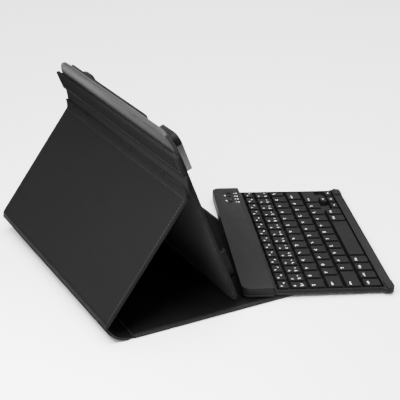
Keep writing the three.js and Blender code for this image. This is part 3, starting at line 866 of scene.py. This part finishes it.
markMake = {
    "stroke": 0.46, "thick": 0.03, "lift": 0.012, "narrow": 0.8,
    "size": 1.3, "second": 1.105, "arrow": 1.0, "small": 0.7, "tiny": 0.6,
    "left": 4.2, "right": 4.6, "rear": 4.0, "front": 4.4,  # how far in from the key's four sides
    "tinyPitch": 2.2, "tinyCount": 3, "wideKey": 1.3,  # from this many pitches on a key counts as wide
    "functionRear": -0.4, "functionFront": 1.0, "tinyRear": 1.2, "plainRear": 0.6, "plainLeft": 0.4,
}


def addMark(bm, strokes, x, y, z, size):
    make = markMake
    for x0, y0, x1, y1 in strokes:
        start = Vector((x + x0 * size, y + y0 * size * make["narrow"], z))
        end = Vector((x + x1 * size, y + y1 * size * make["narrow"], z))
        along = end - start
        turn = Matrix.Rotation(math.atan2(along.y, along.x), 4, "Z")
        scale = Matrix.Diagonal((along.length + make["stroke"], make["stroke"], make["thick"], 1))
        bmesh.ops.create_cube(bm, size=1, matrix=Matrix.Translation((start + end) / 2) @ turn @ scale)


def pickedShape(number):
    return markShapes[number % len(markShapes)]


# Two small marks on a function key, three on a number key, a row of tiny ones on a wide or modifier key,
# an arrow on an arrow key, and one mark on every other key.
def keyMarks(bm, node, row, places):
    make = markMake
    small = make["small"]
    for i, (x0, x1, y0, y1, _, z1) in enumerate(places):
        z = z1 - keyMake["dish"] + make["lift"]
        first, second = pickedShape(i * 4 + row * 5), pickedShape(i * 7 + row * 3 + 2)
        rear, front = x0 + make["rear"], x1 - make["front"]
        left, right = y0 + make["left"], y1 - make["right"]
        if node in arrowShapes:
            addMark(bm, arrowShapes[node], (x0 + x1) / 2, (y0 + y1) / 2, z, make["arrow"])
        elif node == "function_keys":
            addMark(bm, first, rear + make["functionRear"], left, z, small)
            addMark(bm, second, front + make["functionFront"], right, z, small)
        elif node == "number_keys":
            addMark(bm, first, rear, left, z, small)
            addMark(bm, second, front, left, z, make["second"])
            addMark(bm, second[:1], front, right, z, small)
        elif y1 - y0 > make["wideKey"] * keyMake["pitch"] or node.endswith("modifier_keys"):
            for k in range(make["tinyCount"]):
                addMark(bm, pickedShape(row + k * 2 + i), rear + make["tinyRear"],
                        left + k * make["tinyPitch"], z, make["tiny"])
        else:
            addMark(bm, first, rear + make["plainRear"], left + make["plainLeft"], z, make["size"])


def makeKeys():
    for row, (node, widths) in enumerate(keyRows.items()):
        places = list(keyPlaces(node, widths))
        bm = bmesh.new()
        for place in places:
            addKeycap(bm, *place)
        body = bodyOf(node)
        finishPiece(bm, f"{node}_caps", body, materials["keycap"], keyboardPlace, [node])
        if node == "space_bar":  # it has no mark
            continue
        marks = bmesh.new()
        keyMarks(marks, node, row, places)
        finishPiece(marks, f"{node}_marks", body, materials["keyMark"], keyboardPlace,
                    smooth=False)


makeKeys()
print("keys made")


# Small things: marks on the keyboard's bar, its feet, and the screws underneath.

barMake = {"lift": 0.01, "lampFrom": 4, "lampPitch": 8, "lampGap": 3.6, "lampMark": 0.55,
           "labelGap": 3.0, "labelMark": 0.8, "switchShape": 5, "buttonShape": 7}


def makeBarMarks():
    make = barMake
    lampLow, lampHigh = inKeyboard("led_light_pipe")
    z = keyboardSize.z + make["lift"]
    bm = bmesh.new()
    for i in range(4):
        y = lampLow.y + make["lampFrom"] + i * make["lampPitch"]
        addMark(bm, pickedShape(i * 2 + 1), lampHigh.x - make["lampGap"], y, z, make["lampMark"])
    for node, shape in (("power_switch", make["switchShape"]), ("connect_button", make["buttonShape"])):
        low, high = inKeyboard(node)
        addMark(bm, markShapes[shape], low.x - make["labelGap"], (low.y + high.y) / 2, z, make["labelMark"])
    finishPiece(bm, "bar_marks", "keyboard", materials["keyMark"], keyboardPlace, smooth=False)


footEdge = 0.25


def makeFeet():
    for node in [name for name in frame["nodes"] if name.startswith("foot_")]:
        roundedCopy(node, f"{node}_pad", "rubber", footEdge)


screwMake = {"inset": 8, "barInset": 22, "shank": 1.5, "head": 1.8, "depth": 0.3, "sides": 20, "height": 0.05}


def makeScrews():
    make = screwMake
    inset, barInset = make["inset"], make["barInset"]
    far, bar = keyboardSize.y - inset, keyboardSize.x - barInset
    middle = (keyboardSize.x / 2, keyboardSize.y / 2)
    bm = bmesh.new()
    for x, y in ((inset, inset), (inset, far), (bar, inset), (bar, far), middle):
        bmesh.ops.create_cone(bm, cap_ends=True, segments=make["sides"], radius1=make["shank"],
                              radius2=make["head"], depth=make["depth"],
                              matrix=Matrix.Translation((x, y, make["height"])))
    finishPiece(bm, "case_screws", "keyboard", materials["steel"], keyboardPlace)


makeBarMarks()
makeFeet()
makeScrews()
print("keyboard details made")


# Floor, light and camera.

floorMake = {"size": 6, "drop": 0.0003, "low": 0.86, "high": 0.9, "roughness": 0.8, "scale": 3.0}


def makeFloor():
    make = floorMake
    bm = bmesh.new()
    bmesh.ops.create_grid(bm, x_segments=2, y_segments=2, size=make["size"],
                          matrix=Matrix.Translation((0, 0, -make["drop"])))
    mesh = bpy.data.meshes.new("floor")
    bm.to_mesh(mesh)
    bm.free()
    material = bpy.data.materials.new("pale floor")
    material.use_nodes = True
    tree = material.node_tree
    shader = tree.nodes["Principled BSDF"]
    soft = addNode(tree, "ShaderNodeTexNoise", {"Scale": make["scale"], "Detail": 2.0})
    tint = addNode(tree, "ShaderNodeMix", data_type="RGBA")
    tree.links.new(soft.outputs[0], tint.inputs[0])
    tint.inputs[6].default_value = (*[make["low"]] * 3, 1)
    tint.inputs[7].default_value = (*[make["high"]] * 3, 1)
    tree.links.new(tint.outputs[2], shader.inputs["Base Color"])
    shader.inputs["Roughness"].default_value = make["roughness"]
    mesh.materials.append(material)
    floor = bpy.data.objects.new("floor", mesh)
    bpy.context.scene.collection.objects.link(floor)


roomLight = 1.6  # strength of the even white light all round
lights = {  # where each soft box stands, what it aims at, its size in metres and its power
    "overhead": {"at": (0.25, 0.2, 1.6), "aim": (0, 0, 0), "size": 1.6, "power": 92},
    "near left": {"at": (-0.36, -0.21, 0.43), "aim": (-0.13, -0.08, 0.11), "size": 0.22, "power": 11},
    "camera side": {"at": (-1.0, -1.6, 1.0), "aim": (0, 0, 0.1), "size": 1.4, "power": 2},
}


def makeLights():
    world = bpy.data.worlds.new("studio")
    bpy.context.scene.world = world
    world.use_nodes = True
    background = world.node_tree.nodes["Background"]
    background.inputs["Color"].default_value = (1, 1, 1, 1)
    background.inputs["Strength"].default_value = roomLight
    for name, values in lights.items():
        data = bpy.data.lights.new(name, "AREA")
        data.shape = "SQUARE"
        data.size = values["size"]
        data.energy = values["power"]
        light = bpy.data.objects.new(name, data)
        bpy.context.scene.collection.objects.link(light)
        away = Vector(values["at"]) - Vector(values["aim"])
        turn = away.to_track_quat("Z", "Y").to_matrix().to_4x4()
        light.matrix_world = Matrix.Translation(values["at"]) @ turn


# Where the viewer stands: metres and degrees. Yaw turns from +Y towards +X. Lens and sensor in millimetres.
viewer = {"at": (-0.5194, -0.8659, 0.5153), "yaw": 29.34, "pitch": 24.39, "roll": 0.97, "lens": 96.9,
          "sensor": 36}


def makeCamera():
    yaw, pitch = math.radians(viewer["yaw"]), math.radians(viewer["pitch"])
    forward = Vector((math.sin(yaw) * math.cos(pitch), math.cos(yaw) * math.cos(pitch), -math.sin(pitch)))
    right = Vector((math.cos(yaw), -math.sin(yaw), 0))
    turn = Matrix((right, right.cross(forward), -forward)).transposed()
    turn = turn @ Matrix.Rotation(math.radians(viewer["roll"]), 3, "Z")
    data = bpy.data.cameras.new("viewer")
    data.lens = viewer["lens"]
    data.sensor_width = viewer["sensor"]
    camera = bpy.data.objects.new("viewer", data)
    camera.matrix_world = Matrix.Translation(viewer["at"]) @ turn.to_4x4()
    bpy.context.scene.collection.objects.link(camera)
    bpy.context.scene.camera = camera


makeFloor()
makeLights()
makeCamera()
print("studio made")
